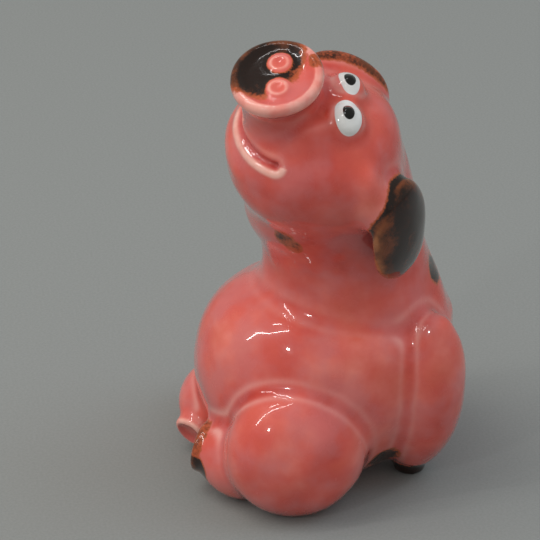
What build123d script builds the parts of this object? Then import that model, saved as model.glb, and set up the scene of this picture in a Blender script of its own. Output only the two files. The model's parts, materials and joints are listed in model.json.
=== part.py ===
from build123d import *
import math
import os

# A glazed ceramic pig figurine, put together from separately formed pieces of clay.
# The pig sits on its rump with its hind feet out in front, leans back on its arms,
# and throws its head up, cocked a little to its own left.
# +Z is up, the pig faces -Y, and its left side is +X. Lengths are in millimetres.
# The origin is on the table, under the middle of the figure.

# Wall of the hollow pieces, and how far a cutting shape runs past what it cuts
wall = 3.0
overrun = 4.0

# Torso: ellipses stacked from the foot ring up to the neck seat, leaning back as they rise
torso_height = 33.4
torso_width = 42.6
torso_depth = 47.0
ring_setback = -1.3
torso_setback = 8.7
torso_lean = 11.5
torso_rise_shares = [0, 0.09, 0.262, 0.47, 0.665, 0.855, 0.96, 1.0]
torso_width_shares = [0.42, 0.667, 0.864, 0.98, 1.0, 0.953, 0.85, 0.74]
torso_depth_shares = [0.372, 0.615, 0.837, 0.967, 1.0, 0.94, 0.83, 0.765]
torso_setback_shares = [0, 0.02, 0.085, 0.17, 0.315, 0.55, 0.84, 1.0]
torso_lean_shares = [0, 0.25, 0.47, 0.64, 0.76, 0.92, 1.0, 1.0]
vent_hole_diameter = 10.0

# Neck: a tapering collar between the torso and the head, its top placed from the torso's seat
neck_rise = 12.1
neck_shift = 1.0
neck_forward = 2.9
neck_width_share = 0.99

# Head: circles stacked from the neck to the face's centre, turning from level to the
# snout's own tilt, and from there a dome along the snout's axis. The face's centre is placed
# from the neck's top
head_rise = 20.2
head_shift = 8.0
head_forward = 6.8
head_diameter = 31.2
head_rise_shares = [0, 0.158, 0.42, 0.718, 1.0]
head_shift_shares = [0, 0.1, 0.325, 0.64, 1.0]
head_forward_shares = [0, 0.19, 0.44, 0.67, 1.0]
head_turn_shares = [0, 0.1, 0.35, 0.7, 1.0]
head_radius_shares = [0.945, 0.975, 0.98, 0.955, 0.98]
dome_forward_shares = [0.32, 0.58, 0.8, 0.91]
dome_drop_shares = [0, 0.02, 0.06, 0.12]
dome_radius_shares = [0.94, 0.79, 0.55, 0.33]

# Snout: its own frame, tilted forward and to the left and rolled, sits in the head's crown.
# A flared barrel stands low on the face, with a dished disc on its end
snout_forward_lean = 13.5
snout_left_lean = 25.5
snout_roll = -17.6
snout_length = 6.3
snout_drop = 3.9
snout_diameter = 13.6
barrel_forward_shares = [0.42, 0.54, 0.68, 1.0]
barrel_drop_shares = [0.5, 0.78, 0.95, 1.0]
barrel_diameter_shares = [1.42, 1.2, 1.06, 1.0]
disc_diameter = 16.0
disc_thickness = 2.6
disc_rim_round = 1.1
dish_depth = 0.9
dish_rim_width = 1.7

# Nostrils: raised rings in the dish
nostril_spacing = 5.4
nostril_up = 0.4
nostril_diameter = 4.2
nostril_ring_thickness = 1.3
nostril_lift = 0.2

# Eyes: domes close together above the root of the snout, with round pupils
eye_spacing = 6.8
eye_up_share = 0.449
eye_forward_share = 0.827
eye_diameter = 6.4
eye_height = 4.8
pupil_diameter = 2.2
pupil_height = 1.2
pupil_up = -0.5
pupil_inward = 0.5

# Lower jaw: a pad under the snout, and the groove of the mouth that parts it from the face
jaw_away_shares = [0, -0.915, 0.402]
jaw_rise = 0.3
jaw_width = 20.4
jaw_thickness = 11.8
mouth_forward_share = 0.635
mouth_radius_share = 0.75
mouth_groove_width = 1.4
mouth_arc = 138.0

# Ears: thick cupped leaves, the left one held by a short root beside its upper end
ear_width = 14.2
ear_thickness = 5.6
ear_rise_shares = [0, 0.04, 0.14, 0.32, 0.52, 0.72, 0.88, 0.96, 1.0]
ear_breadth_shares = [0.24, 0.46, 0.74, 0.95, 1.0, 0.92, 0.68, 0.42, 0.22]
ear_hollow_share = 0.76
ear_hollow_inward = 1.7
ear_hollow_aside = 1.6
ear_root_diameter = 5.6
ear_root_length = 13.0
ear_root_along = 8.6
ear_root_aside = 4.6
ear_root_inward = 2.4

# The left ear hangs down along the side of the head, its middle outside the head's radius
left_ear_length = 19.8
left_ear_rise = 4.1
left_ear_away_shares = [0.584, 0.715, -0.384]
left_ear_axis_shares = [-0.249, 0.035, 0.968]

# The right ear is laid forward beside the eyes, its middle sunk in the head
right_ear_length = 18.2
right_ear_sink = 4.5
right_ear_away_shares = [-0.737, 0.448, 0.508]
right_ear_axis_shares = [0.1, 0.805, -0.585]

# Hind legs: a round thigh on each side, and a stub of a foot that ends in a dished hoof
thigh_inset = 3.3
thigh_front_inset = 16.4
thigh_centre_height = 11.9
thigh_diameter = 25.6
thigh_width = 19.0
foot_diameter = 14.8
foot_length = 17.0
hoof_thickness = 2.6
hoof_rim_round = 0.7
hoof_dish_depth = 0.8
hoof_rim_width = 1.1

# The left foot lies nearly straight ahead
left_foot_spread = 11.4
left_foot_inset = 8.0
left_foot_centre_height = 7.0
left_foot_turn = 30.0
left_foot_toe_lean = 8.0
left_foot_cut_share = 0.36
left_hoof_diameter = 9.6

# The right foot is turned further in, toes down, with a smaller hoof
right_foot_spread = 9.0
right_foot_inset = 6.9
right_foot_centre_height = 8.4
right_foot_turn = 42.0
right_foot_toe_lean = -24.0
right_foot_cut_share = 0.42
right_hoof_diameter = 7.2

# Arms: teardrops that come down from the shoulders to the front hooves behind, their ends
# placed inward from the torso's side and forward from its back
arm_top_inset = 5.5
arm_top_forward = 6.7
arm_top_rise = 1.8
arm_foot_inset = 12.9
arm_foot_forward = 6.1
arm_diameter = 15.0
arm_rise_shares = [0, 0.12, 0.3, 0.5, 0.68, 0.85, 0.95, 1.0]
arm_radius_shares = [0.4, 0.58, 0.9, 1.0, 0.92, 0.7, 0.42, 0]
front_hoof_height = 3.0
front_hoof_diameter = 7.2
front_hoof_taper = 0.8

# Tail: a small curl laid flat against the back, placed from the torso's middle section
tail_rise_share = 0.47
tail_lift = 1.5
tail_standoff = 0.5
tail_lean = 9.6
tail_curl_diameter = 7.4
tail_thickness = 2.8
tail_curl_turn = 300.0


def turned(frame, length, radius, rise_shares, radius_shares):
    """A solid turned about the frame's axis, from a flat end to a round one."""
    points = [
        (radius * out, length * along) for along, out in zip(rise_shares, radius_shares)
    ]
    with BuildPart() as form:
        with BuildSketch(Plane(origin=frame.origin, x_dir=frame.x_dir, z_dir=-frame.y_dir)):
            with BuildLine():
                Spline(points, tangents=[(0, 1), (-1, 0)])
                Polyline(points[-1], (0, 0), points[0])
            make_face()
        revolve(axis=Axis(frame.origin, frame.z_dir))
    return form.part


def ellipsoid(frame, width, thickness, length):
    """A ball stretched by three sizes along the frame's X, Y and Z, centred on the frame."""
    ball = Sphere(length / 2, mode=Mode.PRIVATE)
    stretch = (width / length, thickness / length, 1)
    return frame.location * scale(ball, by=stretch, mode=Mode.PRIVATE)


def facing(origin, like):
    """A plane at a point, turned the same way as another plane."""
    return Plane(origin, x_dir=like.x_dir, z_dir=like.z_dir)


def torso_frame(index):
    """The plane of one of the torso's sections."""
    centre = (
        0,
        ring_setback + torso_setback * torso_setback_shares[index],
        torso_height * torso_rise_shares[index],
    )
    return Plane(centre).rotated((-torso_lean * torso_lean_shares[index], 0, 0))


def torso_form(first_section, inset):
    """The torso's loft from one of its sections up, drawn in by an inset all round."""
    with BuildPart() as form:
        for index in range(first_section, len(torso_rise_shares)):
            with BuildSketch(torso_frame(index)):
                Ellipse(
                    torso_width / 2 * torso_width_shares[index] - inset,
                    torso_depth / 2 * torso_depth_shares[index] - inset,
                )
        loft()
    return form.part


def head_frame(index):
    """The plane of one of the head's sections below the face's centre."""
    centre = neck_seat.origin + Vector(
        neck_shift + head_shift * head_shift_shares[index],
        -neck_forward - head_forward * head_forward_shares[index],
        neck_rise + head_rise * head_rise_shares[index],
    )
    turn = head_turn_shares[index]
    return Plane(centre).rotated((snout_forward_lean * turn, snout_left_lean * turn, 0))


# Frames that the pieces are placed by
neck_seat = torso_frame(-1)
head_seat = head_frame(0)
snout_frame = Plane(head_frame(-1).origin).rotated(
    (snout_forward_lean, snout_left_lean, snout_roll)
)


def on_snout(side, up, forward):
    """A point given from the face's centre along the snout's own axes."""
    return snout_frame.from_local_coords(Vector(side, up, forward))


def on_head(away_shares, rise):
    """A point above the head's radius, in a direction given along the snout's own axes."""
    away = Vector(*away_shares).normalized()
    return snout_frame.from_local_coords(away * (head_diameter / 2 + rise))


def along_snout(axis_shares):
    """A direction given along the snout's own axes."""
    return snout_frame.from_local_coords(Vector(*axis_shares)) - snout_frame.origin


def head_form(dome_sections, inset):
    """The head's loft with the first few sections of its dome, drawn in by an inset."""
    with BuildPart() as form:
        for index in range(len(head_rise_shares)):
            with BuildSketch(head_frame(index)):
                Circle(head_diameter / 2 * head_radius_shares[index] - inset)
        for index in range(dome_sections):
            drop = snout_drop * dome_drop_shares[index]
            forward = head_diameter / 2 * dome_forward_shares[index]
            with BuildSketch(facing(on_snout(0, -drop, forward), head_frame(-1))):
                Circle(head_diameter / 2 * dome_radius_shares[index] - inset)
        loft()
    return form.part


def neck_form(inset):
    """The neck's loft from the ellipse of the torso's seat to the circle under the head."""
    with BuildPart() as form:
        with BuildSketch(neck_seat):
            Ellipse(
                torso_width / 2 * torso_width_shares[-1] * neck_width_share - inset,
                torso_depth / 2 * torso_depth_shares[-1] * neck_width_share - inset,
            )
        with BuildSketch(head_seat):
            Circle(head_diameter / 2 * head_radius_shares[0] * neck_width_share - inset)
        loft()
    return form.part


# Torso, neck and head: hollow forms stacked on flat seats, open to one another
torso_outer = torso_form(0, 0)
neck_outer = neck_form(0)
head_outer = head_form(len(dome_radius_shares), 0)

with BuildPart() as torso_shell:
    add(torso_outer)
    add(torso_form(1, wall), mode=Mode.SUBTRACT)
    with BuildSketch(torso_frame(0).offset(-overrun)):
        Circle(vent_hole_diameter / 2)
    extrude(amount=overrun + wall + overrun, mode=Mode.SUBTRACT)
torso_shell.part.label = "torso_shell"

with BuildPart() as neck_coil:
    add(neck_outer)
    add(neck_form(wall), mode=Mode.SUBTRACT)
neck_coil.part.label = "neck_coil"

# The mouth's groove goes part of the way round the face, under the snout
mouth_radius = head_diameter / 2 * mouth_radius_share
mouth_seat = facing(on_snout(0, 0, head_diameter / 2 * mouth_forward_share), snout_frame)
mouth_start = Plane(
    mouth_seat.from_local_coords(
        Vector(
            mouth_radius * math.sin(math.radians(mouth_arc / 2)),
            -mouth_radius * math.cos(math.radians(mouth_arc / 2)),
            0,
        )
    ),
    x_dir=snout_frame.z_dir,
    z_dir=snout_frame.x_dir * math.cos(math.radians(mouth_arc / 2))
    + snout_frame.y_dir * math.sin(math.radians(mouth_arc / 2)),
)
with BuildPart() as mouth_groove:
    with BuildSketch(mouth_start):
        Circle(mouth_groove_width / 2)
    revolve(axis=Axis(mouth_seat.origin, -snout_frame.z_dir), revolution_arc=mouth_arc)

with BuildPart() as head_shell:
    add(head_outer)
    add(head_form(len(dome_radius_shares) // 2, wall), mode=Mode.SUBTRACT)
    add(mouth_groove.part, mode=Mode.SUBTRACT)
head_shell.part.label = "head_shell"

# Snout: the barrel stands on the head's dome, and the disc sits on the barrel's flat end
snout_reach = head_diameter / 2 + snout_length
barrel_reach = snout_reach - disc_thickness
with BuildPart() as snout_barrel:
    for forward, drop, width in zip(
        barrel_forward_shares, barrel_drop_shares, barrel_diameter_shares
    ):
        centre = on_snout(0, -snout_drop * drop, barrel_reach * forward)
        with BuildSketch(facing(centre, snout_frame)):
            Circle(snout_diameter / 2 * width)
    loft()
    add(head_outer, mode=Mode.SUBTRACT)
snout_barrel.part.label = "snout_barrel"

disc_seat = facing(on_snout(0, -snout_drop, barrel_reach), snout_frame)
with BuildPart() as snout_disc:
    with BuildSketch(disc_seat):
        Circle(disc_diameter / 2)
    extrude(amount=disc_thickness)
    fillet(snout_disc.edges().filter_by(GeomType.CIRCLE), disc_rim_round)
    with BuildSketch(disc_seat.offset(disc_thickness - dish_depth)):
        Circle(disc_diameter / 2 - dish_rim_width)
    extrude(amount=dish_depth + overrun, mode=Mode.SUBTRACT)
snout_disc.part.label = "snout_disc"

jaw_frame = Plane(
    on_head(jaw_away_shares, jaw_rise - jaw_thickness / 2),
    x_dir=snout_frame.y_dir,
    z_dir=snout_frame.x_dir,
)
with BuildPart() as lower_jaw:
    add(ellipsoid(jaw_frame, jaw_thickness, jaw_thickness, jaw_width))
    add(head_outer, mode=Mode.SUBTRACT)
    add(snout_barrel.part, mode=Mode.SUBTRACT)
    add(mouth_groove.part, mode=Mode.SUBTRACT)
lower_jaw.part.label = "lower_jaw"

os.makedirs("parts", exist_ok=True)
for piece in (torso_shell, neck_coil, head_shell, snout_barrel, snout_disc, lower_jaw):
    export_step(piece.part, f"parts/{piece.part.label}.step")


def leaf_form(frame, ear_length, size_share):
    """A leaf of ellipses stacked along the frame's Z, centred on the frame."""
    with BuildPart() as form:
        for rise, breadth in zip(ear_rise_shares, ear_breadth_shares):
            centre = frame.offset(ear_length * size_share * (rise - ear_rise_shares[-1] / 2))
            with BuildSketch(centre):
                Ellipse(
                    ear_thickness / 2 * size_share * breadth,
                    ear_width / 2 * size_share * breadth,
                )
        loft()
    return form.part


def ear_form(frame, ear_length):
    """An ear leaf, cupped on the side away from the frame's X, cut where it meets the head."""
    hollow_centre = frame.from_local_coords(Vector(-ear_hollow_inward, -ear_hollow_aside, 0))
    with BuildPart() as form:
        add(leaf_form(frame, ear_length, 1))
        add(head_outer, mode=Mode.SUBTRACT)
        add(
            leaf_form(facing(hollow_centre, frame), ear_length, ear_hollow_share),
            mode=Mode.SUBTRACT,
        )
    return form.part


# Left ear: its outer side faces away from the head, and a stub of clay holds it
left_ear_axis = along_snout(left_ear_axis_shares).normalized()
left_ear_away = along_snout(left_ear_away_shares)
left_ear_frame = Plane(
    on_head(left_ear_away_shares, left_ear_rise),
    x_dir=left_ear_away - left_ear_axis * left_ear_away.dot(left_ear_axis),
    z_dir=left_ear_axis,
)
with BuildPart() as left_ear:
    add(ear_form(left_ear_frame, left_ear_length))
left_ear.part.label = "left_ear"

ear_root_centre = left_ear_frame.from_local_coords(
    Vector(-ear_root_inward, -ear_root_aside, ear_root_along)
)
with BuildPart() as left_ear_root:
    add(
        ellipsoid(
            facing(ear_root_centre, left_ear_frame),
            ear_root_diameter,
            ear_root_diameter,
            ear_root_length,
        )
    )
    add(head_outer, mode=Mode.SUBTRACT)
    add(left_ear.part, mode=Mode.SUBTRACT)
left_ear_root.part.label = "left_ear_root"

# Right ear: it stands on the head's crown, luted along its edge, its cup toward the left
right_ear_axis = along_snout(right_ear_axis_shares)
right_ear_frame = Plane(
    on_head(right_ear_away_shares, -right_ear_sink),
    x_dir=along_snout(right_ear_away_shares).cross(right_ear_axis),
    z_dir=right_ear_axis,
)
with BuildPart() as right_ear:
    add(ear_form(right_ear_frame, right_ear_length))
right_ear.part.label = "right_ear"

for piece in (left_ear, left_ear_root, right_ear):
    export_step(piece.part, f"parts/{piece.part.label}.step")

# Sizes that differ between the left foot and the right one
feet = {
    "left": (
        left_foot_spread,
        left_foot_inset,
        left_foot_centre_height,
        left_foot_turn,
        left_foot_toe_lean,
        left_foot_cut_share,
        left_hoof_diameter,
    ),
    "right": (
        right_foot_spread,
        right_foot_inset,
        right_foot_centre_height,
        right_foot_turn,
        right_foot_toe_lean,
        right_foot_cut_share,
        right_hoof_diameter,
    ),
}

# Paired pieces, made on the left side and on the right side in turn
for side, sign in {"left": 1, "right": -1}.items():
    eye_centre = on_snout(
        sign * eye_spacing / 2,
        head_diameter / 2 * eye_up_share,
        head_diameter / 2 * eye_forward_share,
    )
    eye_frame = Plane(eye_centre, x_dir=snout_frame.y_dir, z_dir=eye_centre - snout_frame.origin)
    with BuildPart() as eye:
        add(ellipsoid(eye_frame, eye_diameter, eye_diameter, eye_height))
        add(head_outer, mode=Mode.SUBTRACT)
    eye.part.label = f"{side}_eye"

    pupil_centre = eye_frame.from_local_coords(
        Vector(pupil_up, sign * pupil_inward, eye_height / 2)
    )
    with BuildPart() as pupil:
        add(ellipsoid(facing(pupil_centre, eye_frame), pupil_diameter, pupil_diameter, pupil_height))
        add(eye.part, mode=Mode.SUBTRACT)
    pupil.part.label = f"{side}_pupil"

    nostril_centre = on_snout(
        sign * nostril_spacing / 2,
        nostril_up - snout_drop,
        snout_reach - dish_depth + nostril_lift,
    )
    nostril_ring = Torus(
        (nostril_diameter - nostril_ring_thickness) / 2,
        nostril_ring_thickness / 2,
        mode=Mode.PRIVATE,
    )
    with BuildPart() as nostril:
        add(facing(nostril_centre, snout_frame).location * nostril_ring)
        add(snout_disc.part, mode=Mode.SUBTRACT)
    nostril.part.label = f"{side}_nostril"

    thigh_frame = Plane(
        (
            sign * (torso_width / 2 - thigh_inset),
            thigh_front_inset - torso_depth / 2,
            thigh_centre_height,
        ),
        x_dir=(0, 1, 0),
        z_dir=(sign, 0, 0),
    )
    with BuildPart() as thigh:
        add(ellipsoid(thigh_frame, thigh_diameter, thigh_diameter, thigh_width))
        add(torso_outer, mode=Mode.SUBTRACT)
        split(bisect_by=Plane.XY, keep=Keep.TOP)
    thigh.part.label = f"{side}_thigh"

    spread, inset, centre_height, turn, toe_lean, cut_share, hoof_diameter = feet[side]
    toe_direction = Vector(
        -sign * math.sin(math.radians(turn)) * math.cos(math.radians(toe_lean)),
        -math.cos(math.radians(turn)) * math.cos(math.radians(toe_lean)),
        math.sin(math.radians(toe_lean)),
    )
    foot_frame = Plane(
        (sign * spread, inset - torso_depth / 2, centre_height), z_dir=toe_direction
    )
    hoof_seat = foot_frame.offset(foot_length * cut_share)
    with BuildPart() as foot:
        add(ellipsoid(foot_frame, foot_diameter, foot_diameter, foot_length))
        split(bisect_by=hoof_seat, keep=Keep.BOTTOM)
        add(torso_outer, mode=Mode.SUBTRACT)
        add(thigh.part, mode=Mode.SUBTRACT)
        split(bisect_by=Plane.XY, keep=Keep.TOP)
    foot.part.label = f"{side}_foot"

    with BuildPart() as hind_hoof:
        with BuildSketch(hoof_seat):
            Circle(hoof_diameter / 2)
        extrude(amount=hoof_thickness)
        fillet(hind_hoof.edges().filter_by(GeomType.CIRCLE), hoof_rim_round)
        with BuildSketch(hoof_seat.offset(hoof_thickness - hoof_dish_depth)):
            Circle(hoof_diameter / 2 - hoof_rim_width)
        extrude(amount=hoof_dish_depth + overrun, mode=Mode.SUBTRACT)
        add(torso_outer, mode=Mode.SUBTRACT)
        add(thigh.part, mode=Mode.SUBTRACT)
    hind_hoof.part.label = f"{side}_hind_hoof"

    arm_foot = Vector(
        sign * (torso_width / 2 - arm_foot_inset),
        ring_setback + torso_depth / 2 - arm_foot_forward,
        0,
    )
    arm_top = neck_seat.origin + Vector(
        sign * (torso_width / 2 - arm_top_inset),
        torso_depth / 2 * torso_depth_shares[-1] - arm_top_forward,
        arm_top_rise,
    )
    arm_frame = Plane(arm_foot, x_dir=(0, 1, 0), z_dir=arm_top - arm_foot)
    arm_drop = turned(
        arm_frame, (arm_top - arm_foot).length, arm_diameter / 2, arm_rise_shares, arm_radius_shares
    )
    with BuildPart() as arm:
        add(arm_drop)
        split(bisect_by=Plane.XY.offset(front_hoof_height), keep=Keep.TOP)
        add(torso_outer, mode=Mode.SUBTRACT)
        add(neck_outer, mode=Mode.SUBTRACT)
    arm.part.label = f"{side}_arm"

    with BuildPart() as front_hoof:
        with BuildSketch(Plane(arm_foot)):
            Circle(front_hoof_diameter / 2 - front_hoof_taper)
        with BuildSketch(Plane(arm_foot).offset(front_hoof_height)):
            Circle(front_hoof_diameter / 2)
        loft()
    front_hoof.part.label = f"{side}_front_hoof"

    for piece in (eye, pupil, nostril, thigh, foot, hind_hoof, arm, front_hoof):
        export_step(piece.part, f"parts/{piece.part.label}.step")

# Tail: most of a ring, swept about an axis that stands off the back
tail_section = torso_rise_shares.index(tail_rise_share)
tail_level = torso_frame(tail_section)
tail_centre = tail_level.from_local_coords(
    Vector(0, torso_depth / 2 * torso_depth_shares[tail_section] + tail_standoff, tail_lift)
)
tail_frame = Plane(tail_centre, x_dir=tail_level.x_dir, z_dir=tail_level.y_dir).rotated(
    (-tail_lean, 0, 0)
)
tail_start = Plane(
    tail_frame.from_local_coords(Vector((tail_curl_diameter - tail_thickness) / 2, 0, 0)),
    x_dir=tail_frame.x_dir,
    z_dir=tail_frame.y_dir,
)
with BuildPart() as tail:
    with BuildSketch(tail_start):
        Circle(tail_thickness / 2)
    revolve(axis=Axis(tail_frame.origin, tail_frame.z_dir), revolution_arc=tail_curl_turn)
    add(torso_outer, mode=Mode.SUBTRACT)
tail.part.label = "tail"
export_step(tail.part, "parts/tail.step")
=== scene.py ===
import bpy
import json
import math
import numpy as np
from mathutils import Matrix, Vector
from mathutils.bvhtree import BVHTree


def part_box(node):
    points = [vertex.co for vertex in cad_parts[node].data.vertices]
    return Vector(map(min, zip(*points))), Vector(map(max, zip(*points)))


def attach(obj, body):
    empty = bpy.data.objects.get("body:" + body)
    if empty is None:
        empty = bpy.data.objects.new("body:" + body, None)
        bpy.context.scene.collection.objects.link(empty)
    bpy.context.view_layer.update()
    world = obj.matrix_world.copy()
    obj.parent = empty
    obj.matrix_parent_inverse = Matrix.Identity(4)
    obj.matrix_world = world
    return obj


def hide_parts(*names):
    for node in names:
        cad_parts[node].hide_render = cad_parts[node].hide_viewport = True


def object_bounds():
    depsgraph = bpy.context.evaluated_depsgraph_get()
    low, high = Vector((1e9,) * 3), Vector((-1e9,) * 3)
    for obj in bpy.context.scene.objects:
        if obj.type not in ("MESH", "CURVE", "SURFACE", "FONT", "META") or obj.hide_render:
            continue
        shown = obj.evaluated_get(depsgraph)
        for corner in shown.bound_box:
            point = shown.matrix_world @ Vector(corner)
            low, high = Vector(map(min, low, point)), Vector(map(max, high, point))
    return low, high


# A glazed pottery pig. The clay pieces of the frame are run together under one coat of glaze
# that fills the creases, and the coated surface is then parted again into one closed piece for
# each piece of clay. Lengths are in metres.

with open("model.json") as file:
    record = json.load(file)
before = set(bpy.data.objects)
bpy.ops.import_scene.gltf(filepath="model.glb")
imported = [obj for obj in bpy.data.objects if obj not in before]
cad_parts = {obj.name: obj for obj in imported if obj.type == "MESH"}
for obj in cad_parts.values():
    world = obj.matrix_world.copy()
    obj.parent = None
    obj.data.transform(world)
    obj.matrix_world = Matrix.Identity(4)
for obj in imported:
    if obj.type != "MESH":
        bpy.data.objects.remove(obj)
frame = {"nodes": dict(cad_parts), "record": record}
nodes = frame["nodes"]
names = sorted(nodes)
cad_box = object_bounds()
box_low, box_high = np.array(cad_box)
mm = 0.001

fine_voxel = 0.36 * mm
voxel = fine_voxel
weld_reach = 0.002 * mm
least_length = 1e-12

# The throat of the vent hole, where the hollow inside is cut off
vent_middle = np.array([0, -1.3 * mm])
vent_reach = 6.0 * mm
throat_height = 2.0 * mm

# How far glaze and hand reach over the surface, and how deep the glaze lies in a crease
gap_reach = 0.55 * mm
crease_reach = 1.5 * mm
smear_reach = 3.9 * mm
most_fill = 1.6 * mm
pool_fill = 0.6 * mm
sharp_lift = 0.45 * mm

# The seam that is smeared over: its height under the neck coil's top, its width, and the share
# that the left ear's root gets
seam_drop = 1 * mm
seam_width = 7 * mm
root_share = 0.4
root_gain = 3

# How uneven the hand leaves the clay: wavelength, height and seed of each set of waves, the
# heights over which it begins, and the least of it on crisp pieces
unevenness = ((10 * mm, 0.11 * mm, 3), (4 * mm, 0.014 * mm, 5))
wave_count = 24
wave_sum = 5
standing = (0.5 * mm, 3 * mm)
least_uneven = 0.2

# The face's middle, the snout's tilt in degrees and the arc of the mouth about the snout's axis
face_middle = np.array((9.0, -2.3, 65.7)) * mm
snout_tilt = (13.5, 25.5, -17.6)
mouth_radius = 11.3 * mm
mouth_forward = 9.9 * mm
mouth_half_arc = math.radians(63)

# The mouth's slit, deeper at its corners, and the lip beside it, lower on the slit's upper side
slit_width = 0.5 * mm
slit_depth = 0.75 * mm
corner_width = 1.2 * mm
corner_gain = 0.6
lip_away = 1.5 * mm
lip_width = 0.75 * mm
lip_height = 0.3 * mm
lip_blend = 0.2 * mm
upper_lip = 0.35

# Pieces by what they are
hollow = ("torso_shell", "neck_coil", "head_shell")
limbs = ("left_thigh", "right_thigh", "left_arm", "right_arm", "left_foot", "right_foot")
nostrils = ("left_nostril", "right_nostril")
pupils = ("left_pupil", "right_pupil")
hind_hooves = ("left_hind_hoof", "right_hind_hoof")
front_hooves = ("left_front_hoof", "right_front_hoof")
thin_edged = ("snout_disc", "left_ear", "right_ear", *hind_hooves, *nostrils)

# The share of the glaze in its creases that a piece with crisp edges takes up
crisp = {"snout_disc": 0.35}
crisp |= dict.fromkeys(nostrils, 0.1)
crisp |= dict.fromkeys(hind_hooves, 0.2)
crisp |= dict.fromkeys(pupils, 0)

# The depth of each piece's shell under the coated surface
wall = 3.0 * mm
limb_depth = 1.2 * mm
trim_depth = 0.3 * mm
shell_depth = dict.fromkeys(names, trim_depth)
shell_depth |= dict.fromkeys(limbs, limb_depth)
shell_depth |= dict.fromkeys(hollow, wall)

# Marks of brown glaze, each a soft ball in the frame's millimetres: place, radius and strength
spots = (
    ((13.4, -12.4, 85.4), 9.0, 1.0),
    ((15.8, -9.4, 52.6), 2.9, 0.66),
    ((16.0, -7.6, 50.8), 2.7, 0.64),
    ((5.6, 20.4, 39.6), 3.6, 0.8),
    ((15.4, 10.0, 6.0), 4.2, 0.85),
    ((11.6, -25.0, 5.5), 4.0, 1.0),
    ((16.9, -3.5, 86.3), 2.2, 0.7),
)
spot_edge = (0.55, 1.15)

# Brown glaze on whole pieces, and the rims between which it begins or ends
near_ear_gain = 1.5
hind_hoof_mark = 0.64
far_ear_mark = 0.72
far_ear_rim = (15.4 * mm, 17.0 * mm)
nostril_rim = (1.7 * mm, 2.5 * mm)

# Half the width and half the height of each eye's white and of a pupil
white_halves = {"left": (2.45 * mm, 3.3 * mm), "right": (1.95 * mm, 2.9 * mm)}
pupil_halves = (1.05 * mm, 1.4 * mm)
toward_pupil = 0.3

# The pale bands beside pools of glaze, where thin glaze and a painted sheen pale the pink: the
# pool's spread over which they begin, the pool over which they end, and how much they fade on the
# head
sheen_band_reach = 2.6 * mm
sheen_band_begins = (0.05, 0.2)
sheen_band_ends = (0.03, 0.25)
sheen_band_fade = 0.7
most_pool = 1.5
lip_ridge = 0.9

# Rounds in which the seams between pieces are evened out and freed of pinches
evening_rounds = 12
most_unpinching = 30


def joined():
    """The vertices and faces of all the frame's nodes, and each face's node."""
    points = []
    faces = []
    owners = []
    start = 0
    for index, name in enumerate(names):
        mesh = nodes[name].data
        coords = np.empty(len(mesh.vertices) * 3)
        mesh.vertices.foreach_get("co", coords)
        points.append(coords.reshape(-1, 3))
        faces += [[start + corner for corner in face.vertices] for face in mesh.polygons]
        owners += [index] * len(mesh.polygons)
        start += len(mesh.vertices)
    return np.vstack(points), faces, np.array(owners)


def remeshed(points, faces):
    """The points and quads of an even mesh round a set of faces, with welded corners."""
    mesh = bpy.data.meshes.new("clay")
    mesh.from_pydata(points.tolist(), [], faces)
    solid = bpy.data.objects.new("clay", mesh)
    bpy.context.scene.collection.objects.link(solid)
    weld = solid.modifiers.new("weld", "WELD")
    weld.merge_threshold = weld_reach
    remesh = solid.modifiers.new("remesh", "REMESH")
    remesh.mode = "VOXEL"
    remesh.voxel_size = voxel
    made = bpy.data.meshes.new_from_object(
        solid.evaluated_get(bpy.context.evaluated_depsgraph_get())
    )
    coords = np.empty(len(made.vertices) * 3)
    made.vertices.foreach_get("co", coords)
    corners = np.empty(len(made.loops), dtype=np.int64)
    made.loops.foreach_get("vertex_index", corners)
    bpy.data.objects.remove(solid)
    bpy.data.meshes.remove(mesh)
    bpy.data.meshes.remove(made)
    return coords.reshape(-1, 3), corners.reshape(-1, 4)


class Surface:
    """A quad mesh held as arrays, with what is worked out from each vertex's neighbours."""

    def __init__(self, points, quads):
        used = np.unique(quads)
        renumber = np.zeros(len(points), dtype=np.int64)
        renumber[used] = np.arange(len(used))
        self.points = points[used]
        self.quads = renumber[quads]
        self.count = len(used)
        ring = np.vstack([self.quads[:, [i, (i + 1) % 4]] for i in range(4)])
        both = np.vstack([ring, ring[:, ::-1]])
        keys = np.unique(both[:, 0] * self.count + both[:, 1])
        self.edges = np.stack([keys // self.count, keys % self.count], axis=1)
        self.valence = np.bincount(self.edges[:, 0], minlength=self.count)

    def around(self, value):
        """The mean of each vertex's neighbours."""
        total = np.bincount(
            self.edges[:, 0], weights=value[self.edges[:, 1]], minlength=self.count
        )
        return total / self.valence

    def spread(self, value, rounds):
        """A value, or each column of a table, averaged with its neighbours in rounds."""
        value = np.array(value, dtype=float)
        columns = value.reshape(self.count, -1)
        for _ in range(rounds):
            for column in range(columns.shape[1]):
                columns[:, column] = (columns[:, column] + self.around(columns[:, column])) / 2
        return columns.reshape(value.shape)

    def normals(self, points):
        """Unit normals at the vertices, for these places of the vertices."""
        corner = points[self.quads]
        face = np.cross(corner[:, 2] - corner[:, 0], corner[:, 3] - corner[:, 1])
        total = np.zeros_like(points)
        for i in range(4):
            for axis in range(3):
                total[:, axis] += np.bincount(
                    self.quads[:, i], weights=face[:, axis], minlength=self.count
                )
        return total / np.maximum(np.linalg.norm(total, axis=1, keepdims=True), least_length)

    def reached(self, start, barred):
        """Which vertices are joined to a start vertex without crossing barred ones."""
        found = np.zeros(self.count, dtype=bool)
        found[start] = True
        front, ahead = self.edges[~barred[self.edges].any(axis=1)].T
        size = 0
        while found.sum() > size:
            size = found.sum()
            found[ahead[found[front]]] = True
        return found


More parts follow.
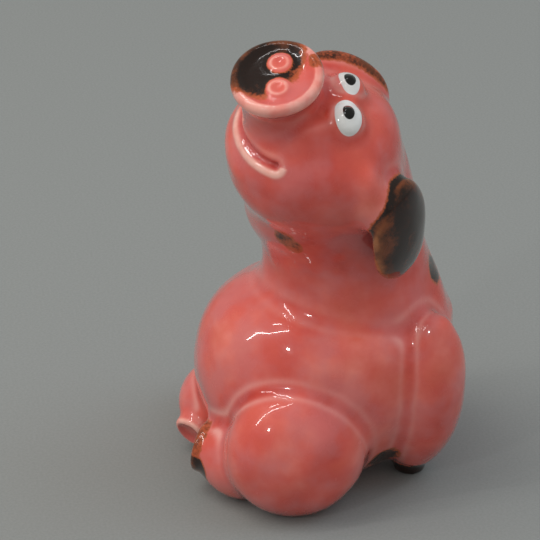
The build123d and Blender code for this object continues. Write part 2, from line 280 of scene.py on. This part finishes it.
def filled(surface):
    """The surface with its narrow gaps closed: it goes out, is made again and comes back."""
    out = surface.points + surface.normals(surface.points) * gap_reach
    again = Surface(*remeshed(out, surface.quads.tolist()))
    back = again.normals(again.spread(again.points, 2)) * gap_reach
    return Surface(again.points - back, again.quads)


def outside_of(surface):
    """The part of a surface that is joined to its top without passing the vent's throat."""
    off_axis = np.linalg.norm(surface.points[:, :2] - vent_middle, axis=1)
    off_height = np.abs(surface.points[:, 2] - throat_height)
    throat = (off_axis < vent_reach) & (off_height < voxel)
    outside = surface.reached(np.argmax(surface.points[:, 2]), throat)
    return Surface(surface.points, surface.quads[outside[surface.quads].all(axis=1)])


clay_points, clay_faces, clay_owners = joined()
clay_tree = BVHTree.FromPolygons(clay_points.tolist(), clay_faces)
skin = outside_of(filled(Surface(*remeshed(clay_points, clay_faces))))


def owners_of(places):
    """The node nearest to each place, by its number in the names."""
    return clay_owners[[clay_tree.find_nearest(place)[2] for place in places.tolist()]]


vertex_owner = owners_of(skin.points)


def on(rounds, *wanted):
    """One on the named nodes and zero elsewhere, spread in rounds over their borders."""
    mine = np.isin(vertex_owner, [names.index(name) for name in wanted])
    return skin.spread(mine.astype(float), rounds)


def rounds_over(reach, rate):
    """The rounds that spread a value over a distance, by the rounds for one voxel."""
    return round((reach / voxel) ** 2 * rate)


def smoothstep(value, low, high):
    """A value eased from 0 to 1 while it goes from low to high."""
    share = np.clip((value - low) / (high - low), 0, 1)
    return share * share * (3 - 2 * share)


def bell(value, width):
    """One where a value is zero, falling off over about this width."""
    return np.exp(-((value / width) ** 2))


def middle(name):
    """The middle of a node's box."""
    low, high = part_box(name)
    return (np.array(low) + np.array(high)) / 2


def waves(points, wavelength, seed):
    """A smooth random value from about -1 to 1, made of plane waves."""
    random = np.random.default_rng(seed)
    total = np.zeros(len(points))
    for _ in range(wave_count):
        direction = random.normal(size=3)
        direction *= 2 * math.pi / (wavelength * np.linalg.norm(direction))
        total += np.sin(points @ direction * random.uniform(0.7, 1.4) + random.uniform(0, 7))
    return total / wave_sum


def smeared():
    """The clay with the seam under the head and the left ear's root smeared over by hand."""
    seam_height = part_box("neck_coil")[1][2] - seam_drop
    share = bell(skin.points[:, 2] - seam_height, seam_width)
    share *= 1 - on(8, "left_ear", "left_arm", "right_arm")
    near_root = np.clip(on(50, "left_ear_root") * root_gain, 0, 1)
    share = np.maximum(share, root_share * near_root * (1 - on(6, "left_ear")))
    points = skin.spread(skin.points, 4)
    for _ in range(rounds_over(smear_reach, 3)):
        for axis in range(3):
            pull = skin.around(points[:, axis]) - points[:, axis]
            points[:, axis] += share * pull / 2
    return points


def shares_of_glaze():
    """The share of the glaze in its creases that each vertex's piece takes up."""
    share = np.ones(skin.count)
    for name, taken in crisp.items():
        share = np.where(on(0, name) > 0, taken, share)
    return skin.spread(share, 4)


def unevened(points, share):
    """The surface with the unevenness of the hand, but flat where it stands."""
    height = sum(waves(points, length, seed) * high for length, high, seed in unevenness)
    height = height * smoothstep(points[:, 2], *standing) * np.clip(share + least_uneven, 0, 1)
    return points + skin.normals(points) * height[:, None]


def mouth(points):
    """The mouth's slit and the lip beside it, each about 1 at its middle and 0 away from it."""
    tilt_x, tilt_y, tilt_z = (math.radians(angle) for angle in snout_tilt)
    snout_axes = Matrix.Rotation(tilt_x, 3, "X") @ Matrix.Rotation(tilt_y, 3, "Y")
    snout_axes = snout_axes @ Matrix.Rotation(tilt_z, 3, "Z")
    on_face = (points - face_middle) @ np.array(snout_axes)
    turn = np.abs(np.arctan2(on_face[:, 0], -on_face[:, 1]))
    outward = np.hypot(on_face[:, 0], on_face[:, 1]) - mouth_radius
    forward = on_face[:, 2] - mouth_forward
    past_end = np.maximum(turn - mouth_half_arc, 0) * mouth_radius
    away = np.sqrt(outward**2 + forward**2 + past_end**2)
    below = smoothstep(outward - forward, -lip_blend, lip_blend)
    corner = bell((turn - mouth_half_arc) * mouth_radius, corner_width)
    slit = bell(away, slit_width) * (1 + corner_gain * corner)
    lip = bell(away - lip_away, lip_width) * (upper_lip + (1 - upper_lip) * below)
    return slit, lip


# The clay is smeared and coated, left a little uneven, and the mouth is drawn into it
clay = smeared()
clay_normals = skin.normals(clay)
lift = ((skin.spread(clay, rounds_over(crease_reach, 3)) - clay) * clay_normals).sum(axis=1)
glaze_share = shares_of_glaze()
fill = np.clip(lift, 0, most_fill) * glaze_share
even = skin.spread(clay + clay_normals * fill[:, None], 3)
uneven = unevened(even, glaze_share)
slit, lip = mouth(uneven)
drawn = uneven + skin.normals(even) * (lip * lip_height - slit * slit_depth)[:, None]
coated = np.clip(skin.spread(drawn, 1), box_low, box_high)
normals = skin.normals(coated)


def distance_from(place, halves=1):
    """Each vertex's distance from a place, counted in these halves along the three axes."""
    return np.linalg.norm((coated - place) / halves, axis=1)


def brown_marks():
    """Where brown glaze lies, from 0 to 1."""
    mark = on(5, *front_hooves)
    mark = np.maximum(mark, np.clip(on(30, "left_ear") * near_ear_gain, 0, 1))
    mark = np.maximum(mark, hind_hoof_mark * on(3, "left_hind_hoof"))
    far_rim = smoothstep(distance_from(face_middle), *far_ear_rim) * on(3, "right_ear")
    mark = np.maximum(mark, far_ear_mark * far_rim)
    for place, radius, strength in spots:
        away = distance_from(np.array(place) * mm) / (radius * mm)
        mark = np.maximum(mark, strength * (1 - smoothstep(away, *spot_edge)))
    for name in nostrils:
        mark = mark * smoothstep(distance_from(middle(name)), *nostril_rim)
    return mark


def oval(place, half_width, half_height):
    """One at a place, falling to a half at the edge of an oval round it."""
    return 1 - distance_from(place, np.array((half_height, half_width, half_height))) / 2


def eye_whites():
    """The ovals of both eyes' whites, drawn toward their pupils."""
    white = np.zeros(skin.count)
    for side, halves in white_halves.items():
        place = middle(f"{side}_eye") * (1 - toward_pupil)
        place = place + middle(f"{side}_pupil") * toward_pupil
        white = np.maximum(white, oval(place, *halves))
    return white


def eye_pupils():
    """The ovals of both pupils."""
    black = np.zeros(skin.count)
    for name in pupils:
        black = np.maximum(black, oval(middle(name), *pupil_halves))
    return black


def thin_glaze_sheen_bands(pool):
    """The pale bands beside the pools of glaze, thin glaze with a painted sheen, fainter on the
    head.
    """
    thin_glaze_sheen = smoothstep(skin.spread(pool, rounds_over(sheen_band_reach, 2)), *sheen_band_begins)
    thin_glaze_sheen = thin_glaze_sheen * (1 - smoothstep(pool, *sheen_band_ends))
    return skin.spread(thin_glaze_sheen, 3) * (1 - sheen_band_fade * on(10, "snout_barrel", "head_shell"))


# What the glaze does at each vertex: it pools in creases and thins over edges, and beside creases
# thin glaze and a painted sheen pale it
pool = skin.spread(fill / pool_fill, 2)
sharp = np.clip(-lift / sharp_lift, 0, 1)
fields = {
    "mark": brown_marks(),
    "white": eye_whites(),
    "black": eye_pupils(),
    "pool": np.clip(pool + slit, 0, most_pool),
    "ridge": np.maximum(sharp * on(3, *thin_edged), lip * lip_ridge),
    "deep": on(40, "head_shell", "snout_barrel", "neck_coil"),
    # Beside creases, a pale band of thin glaze and painted sheen
    "thin_glaze_sheen": thin_glaze_sheen_bands(pool),
    "edge": sharp * on(2, "left_ear"),
}

# Parting: the two ends of each of the four sides of a face
side_ends = np.stack([skin.quads, np.roll(skin.quads, -1, axis=1)], axis=2)


def neighbours():
    """The face across each side of each face, itself at a bare side, and which sides are bare."""
    keys = (side_ends.min(axis=2) * skin.count + side_ends.max(axis=2)).ravel()
    order = np.argsort(keys, kind="stable")
    paired = keys[order][1:] == keys[order][:-1]
    first = order[:-1][paired]
    second = order[1:][paired]
    across = np.repeat(np.arange(len(skin.quads)), 4)
    across[first] = second // 4
    across[second] = first // 4
    bare = np.ones(len(keys), dtype=bool)
    bare[first] = False
    bare[second] = False
    return across.reshape(-1, 4), bare.reshape(-1, 4)


across, bare = neighbours()


def evened(owner):
    """Each face's node, with ragged seams evened out by what lies across three sides."""
    for _ in range(evening_rounds):
        beside = owner[across]
        votes = (beside[:, :, None] == beside[:, None, :]).sum(axis=2)
        best = votes.argmax(axis=1)
        winner = beside[np.arange(len(owner)), best]
        owner = np.where(votes.max(axis=1) >= 3, winner, owner)
    return owner


def seam_sides(owner):
    """Sides of faces that lie on the edge of a piece."""
    return (owner[across] != owner[:, None]) | bare


def unpinched(owner):
    """Each face's node, changed where a piece would touch itself at a single vertex."""
    for _ in range(most_unpinching):
        face, corner = np.nonzero(seam_sides(owner))
        touch = (owner[face][:, None] * skin.count + side_ends[face, corner]).ravel()
        touch, sides = np.unique(touch, return_counts=True)
        pinched = touch[sides > 2]
        if not len(pinched):
            break
        for key in pinched:
            owner[(skin.quads == key % skin.count).any(axis=1)] = key // skin.count
    return owner


# Each face goes to the nearest node, and then the seams are mended
face_owner = unpinched(evened(owners_of(skin.points[skin.quads].mean(axis=1))))
on_seam = seam_sides(face_owner)


def linear(red, green, blue):
    """A colour given in display values from 0 to 255, as the linear one that shaders use."""
    shares = [channel / 255 for channel in (red, green, blue)]
    return (*[((share + 0.055) / 1.055) ** 2.4 for share in shares], 1)


# Pinks, from thin glaze to thick, in the clouds, beside creases with thin glaze and a painted
# sheen, and on worn edges
light_pink = linear(224, 127, 113)
red_pink = linear(205, 84, 73)
deep_red = linear(178, 48, 36)
dusty_pink = linear(194, 112, 112)
warm_red = linear(208, 86, 62)
thin_glaze_sheen_pink = linear(230, 166, 156)
worn_pink = linear(236, 188, 172)

# Browns, thick, flecked, thinning out and worn off an edge
dark_brown = linear(30, 12, 5)
fleck_brown = linear(126, 62, 26)
orange_brown = linear(170, 78, 42)
worn_tan = linear(214, 146, 92)

# The eyes, the paper and what lies behind
chalk_white = linear(226, 226, 222)
chalk_grey = linear(206, 204, 200)
pupil_black = linear(16, 12, 11)
paper_dark = linear(126, 128, 125)
paper_light = linear(132, 134, 131)
backdrop = linear(135, 139, 135)
even_light = (0.7, 0.7, 0.7, 1)


def add_node(tree, kind, inputs=(), **settings):
    """A shader node with its settings and its inputs, which are values or sockets."""
    node = tree.nodes.new(kind)
    for key, value in settings.items():
        setattr(node, key, value)
    for key, value in dict(inputs).items():
        if isinstance(value, bpy.types.NodeSocket):
            tree.links.new(value, node.inputs[key])
        else:
            node.inputs[key].default_value = value
    return node


def new_material(name):
    """A material with its node tree, its shader and a vector of object coordinates."""
    material = bpy.data.materials.new(name)
    material.use_nodes = True
    tree = material.node_tree
    place = add_node(tree, "ShaderNodeTexCoord").outputs["Object"]
    return material, tree, tree.nodes["Principled BSDF"], place


def noise(tree, place, size, detail, seed):
    """Noise whose patches are about this size."""
    inputs = {"Vector": place, "W": seed, "Scale": 1 / size, "Detail": detail}
    node = add_node(tree, "ShaderNodeTexNoise", inputs, noise_dimensions="4D")
    return node.outputs["Fac"]


def maths(tree, operation, *values):
    """The result of an operation on values or sockets."""
    node = add_node(tree, "ShaderNodeMath", dict(enumerate(values)), operation=operation)
    return node.outputs[0]


def product(tree, one, other):
    """One value times another."""
    return maths(tree, "MULTIPLY", one, other)


def plus(tree, total, value, share):
    """A total with a share of a value added."""
    return maths(tree, "MULTIPLY_ADD", value, share, total)


def ramp(tree, value, low, high, start=0.0, end=1.0):
    """A value eased from start to end while the input goes from low to high."""
    inputs = {"Value": value, "From Min": low, "From Max": high, "To Min": start, "To Max": end}
    node = add_node(tree, "ShaderNodeMapRange", inputs, interpolation_type="SMOOTHSTEP")
    return node.outputs["Result"]


def mixed(tree, share, under, over):
    """One colour laid over another by a share."""
    inputs = {0: share, 6: under, 7: over}
    return add_node(tree, "ShaderNodeMix", inputs, data_type="RGBA").outputs[2]


def pink(tree, field, broad, cloud, dusty):
    """Pink that reddens where the glaze pools, pales with thin glaze and a painted sheen beside
    creases, and pales over edges.
    """
    thick = plus(tree, -0.2, broad, 0.9)
    thick = plus(tree, thick, cloud, 0.45)
    thick = plus(tree, thick, field["deep"], 0.12)
    thick = plus(tree, thick, field["pool"], 0.45)
    thick = plus(tree, thick, field["ridge"], -0.5)
    colour = mixed(tree, ramp(tree, thick, 0.1, 0.6), light_pink, red_pink)
    colour = mixed(tree, ramp(tree, thick, 0.5, 1.0), colour, deep_red)
    colour = mixed(tree, ramp(tree, dusty, 0.43, 0.63, end=0.45), colour, dusty_pink)
    colour = mixed(tree, ramp(tree, dusty, 0.48, 0.3, end=0.4), colour, warm_red)
    # Thin glaze and a painted sheen pale the pink beside creases
    thin_glaze_sheen_share = product(tree, field["thin_glaze_sheen"], ramp(tree, broad, 0.3, 0.6, start=0.3, end=0.75))
    colour = mixed(tree, thin_glaze_sheen_share, colour, thin_glaze_sheen_pink)
    worn = product(tree, ramp(tree, field["ridge"], 0.15, 0.8), ramp(tree, cloud, 0.3, 0.6))
    return mixed(tree, product(tree, worn, 0.7), colour, worn_pink)


def browned(tree, colour, field, cloud, grain, dusty):
    """Brown marks over a colour, orange where they thin out and flecked where they are thick."""
    ragged = plus(tree, field["mark"], cloud, 0.75)
    ragged = plus(tree, ragged, grain, 0.5)
    flecks = plus(tree, product(tree, grain, 0.3), cloud, 0.8)
    flecks = plus(tree, flecks, field["edge"], 0.3)
    flecks = plus(tree, flecks, field["ridge"], 0.3)
    flecks = plus(tree, flecks, dusty, 0.5)
    flecks = product(tree, ramp(tree, flecks, 0.84, 1.15), 0.7)
    brown = mixed(tree, flecks, dark_brown, fleck_brown)
    brown = mixed(tree, ramp(tree, ragged, 1.2, 1.46), orange_brown, brown)
    colour = mixed(tree, ramp(tree, ragged, 0.98, 1.22), colour, brown)
    worn = product(tree, ramp(tree, field["edge"], 0.3, 0.8), ramp(tree, cloud, 0.4, 0.6))
    return mixed(tree, product(tree, worn, 0.7), colour, worn_tan)


def eyed(tree, colour, field, cloud):
    """White eyes and black pupils over a colour."""
    chalk = mixed(tree, cloud, chalk_white, chalk_grey)
    rim = plus(tree, field["white"], cloud, 0.03)
    colour = mixed(tree, ramp(tree, rim, 0.512, 0.535), colour, chalk)
    return mixed(tree, ramp(tree, field["black"], 0.49, 0.53), colour, pupil_black)


def glaze(name):
    """The pig's glaze, coloured by the fields at its vertices, under a clear coat."""
    material, tree, shader, place = new_material(name)
    field = {
        key: add_node(tree, "ShaderNodeAttribute", attribute_name=key).outputs["Fac"]
        for key in fields
    }
    broad = noise(tree, place, size=11 * mm, detail=2.0, seed=1.0)
    cloud = noise(tree, place, size=3.6 * mm, detail=4.0, seed=2.0)
    grain = noise(tree, place, size=0.55 * mm, detail=3.0, seed=3.0)
    dusty = noise(tree, place, size=8 * mm, detail=3.0, seed=9.0)
    dimples = noise(tree, place, size=2.0 * mm, detail=2.0, seed=5.0)
    colour = pink(tree, field, broad, cloud, dusty)
    colour = browned(tree, colour, field, cloud, grain, dusty)
    colour = eyed(tree, colour, field, cloud)
    roughness = ramp(tree, cloud, 0.3, 0.7, start=0.16, end=0.3)
    peel = plus(tree, dimples, grain, 0.25)
    relief = {"Height": peel, "Strength": 0.35, "Distance": 0.12 * mm}
    bump = add_node(tree, "ShaderNodeBump", relief)
    tree.links.new(colour, shader.inputs["Base Color"])
    tree.links.new(roughness, shader.inputs["Roughness"])
    tree.links.new(bump.outputs["Normal"], shader.inputs["Normal"])
    shader.inputs["Specular IOR Level"].default_value = 0.2
    shader.inputs["Coat Weight"].default_value = 1
    shader.inputs["Coat Roughness"].default_value = 0.05
    shader.inputs["Coat IOR"].default_value = 1.5
    return material


slots = {entry["slot"]: glaze(entry["slot"]) for entry in frame["record"]["materials"]}
slot_of = {entry["node"]: entry["material_slot"] for entry in frame["record"]["subparts"]}


def piece(name):
    """The coated surface of one node as a closed shell: its skin, its underside and a rim."""
    mine = face_owner == names.index(name)
    used, local = np.unique(skin.quads[mine], return_inverse=True)
    local = local.reshape(-1, 4)
    size = len(used)
    under = np.clip(coated[used] - normals[used] * shell_depth[name], box_low, box_high)
    face, corner = np.nonzero(on_seam[mine])
    start = local[face, corner]
    end = local[face, (corner + 1) % 4]
    rim = np.stack([end, start, start + size, end + size], axis=1)
    points = np.vstack([coated[used], under])
    faces = np.vstack([local, local[:, ::-1] + size, rim])
    mesh = bpy.data.meshes.new(f"{name}_glazed")
    mesh.from_pydata(points.tolist(), [], faces.tolist())
    mesh.shade_smooth()
    both_ways = np.vstack([normals[used], -normals[used]])
    mesh.normals_split_custom_set_from_vertices(both_ways.tolist())
    for key, value in fields.items():
        layer = mesh.attributes.new(key, "FLOAT", "POINT")
        layer.data.foreach_set("value", np.tile(value[used], 2).astype(np.float32))
    mesh.materials.append(slots[slot_of[name]])
    made = bpy.data.objects.new(mesh.name, mesh)
    bpy.context.scene.collection.objects.link(made)
    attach(made, "root")
    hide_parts(name)


for name in names:
    piece(name)


def paper():
    """Grey paper with a faint fibre."""
    material, tree, shader, place = new_material("paper")
    fibre = noise(tree, place, size=0.5 * mm, detail=4.0, seed=8.0)
    colour = mixed(tree, ramp(tree, fibre, 0.3, 0.7), paper_dark, paper_light)
    tree.links.new(colour, shader.inputs["Base Color"])
    shader.inputs["Roughness"].default_value = 0.9
    shader.inputs["Specular IOR Level"].default_value = 0.1
    return material


def sheet(reach):
    """The square sheet of paper that the pig stands on."""
    mesh = bpy.data.meshes.new("floor")
    corners = [(-reach, -reach, 0), (reach, -reach, 0), (reach, reach, 0), (-reach, reach, 0)]
    mesh.from_pydata(corners, [], [(0, 1, 2, 3)])
    mesh.materials.append(paper())
    made = bpy.data.objects.new("floor", mesh)
    bpy.context.scene.collection.objects.link(made)
    return made


floor = sheet(reach=3.0)

# The photograph's view: from the pig's left and a little in front, looking down
azimuth = math.radians(80)
elevation = math.radians(27)
target = Vector((0, -8.6, 39.0)) * mm
distance = 480 * mm
width_at_target = 97.2 * mm
sensor_width = 36
toward_camera = Vector(
    (
        math.sin(azimuth) * math.cos(elevation),
        -math.cos(azimuth) * math.cos(elevation),
        math.sin(elevation),
    )
)
to_right = Vector((math.cos(azimuth), math.sin(azimuth), 0))
upward = toward_camera.cross(to_right)


def add_camera():
    """The camera, whose view at the target is as wide as the photograph."""
    data = bpy.data.cameras.new("camera")
    data.sensor_width = sensor_width
    data.lens = sensor_width * distance / width_at_target
    camera = bpy.data.objects.new("camera", data)
    camera.location = target + toward_camera * distance
    camera.rotation_euler = toward_camera.to_track_quat("Z", "Y").to_euler()
    bpy.context.scene.collection.objects.link(camera)
    bpy.context.scene.camera = camera


def add_lamp(name, place, size, power, roll=0, colour=(1, 1, 1), mirrored=True):
    """A rectangular lamp that faces the target, placed from it along the camera's axes, and
    mirrored in the glaze or not."""
    data = bpy.data.lights.new(name, "AREA")
    data.shape = "RECTANGLE"
    data.size, data.size_y = size
    data.energy = power
    data.color = colour
    light = bpy.data.objects.new(name, data)
    right, up, back = place
    offset = to_right * right + upward * up + toward_camera * back
    light.location = target + offset
    facing = offset.to_track_quat("Z", "Y").to_matrix()
    light.rotation_euler = (facing @ Matrix.Rotation(math.radians(roll), 3, "Z")).to_euler()
    light.visible_glossy = mirrored
    bpy.context.scene.collection.objects.link(light)


def add_world():
    """An even light all round, which camera and glaze see as the grey backdrop."""
    world = bpy.data.worlds.new("studio")
    bpy.context.scene.world = world
    world.use_nodes = True
    tree = world.node_tree
    path = add_node(tree, "ShaderNodeLightPath").outputs
    seen = maths(tree, "MAXIMUM", path["Is Camera Ray"], path["Is Glossy Ray"])
    seen = maths(tree, "MAXIMUM", seen, path["Is Transmission Ray"])
    colour = mixed(tree, seen, even_light, backdrop)
    tree.links.new(colour, tree.nodes["Background"].inputs["Color"])


# Two soft lamps, warm and cool, and the three that show in the glaze as a window and a lamp
warm = (1.0, 0.95, 0.88)
cool = (0.68, 0.82, 1.0)
add_camera()
add_lamp("soft_box", (-0.70, 0.75, 0.45), (0.9, 0.9), power=4.1, colour=warm, mirrored=False)
add_lamp("sky", (0.60, 0.70, 0.30), (0.6, 0.6), power=2.3, colour=cool, mirrored=False)
add_lamp("window_low", (-0.40, 0.50, 0.40), (0.014, 0.80), power=1.2)
add_lamp("window_high", (-0.44, 0.96, 0.38), (0.014, 0.22), power=0.33, roll=36)
add_lamp("lamp", (-0.30, 0.10, 0.52), (0.035, 0.035), power=0.3)
add_world()
bpy.context.scene.view_settings.view_transform = "Standard"
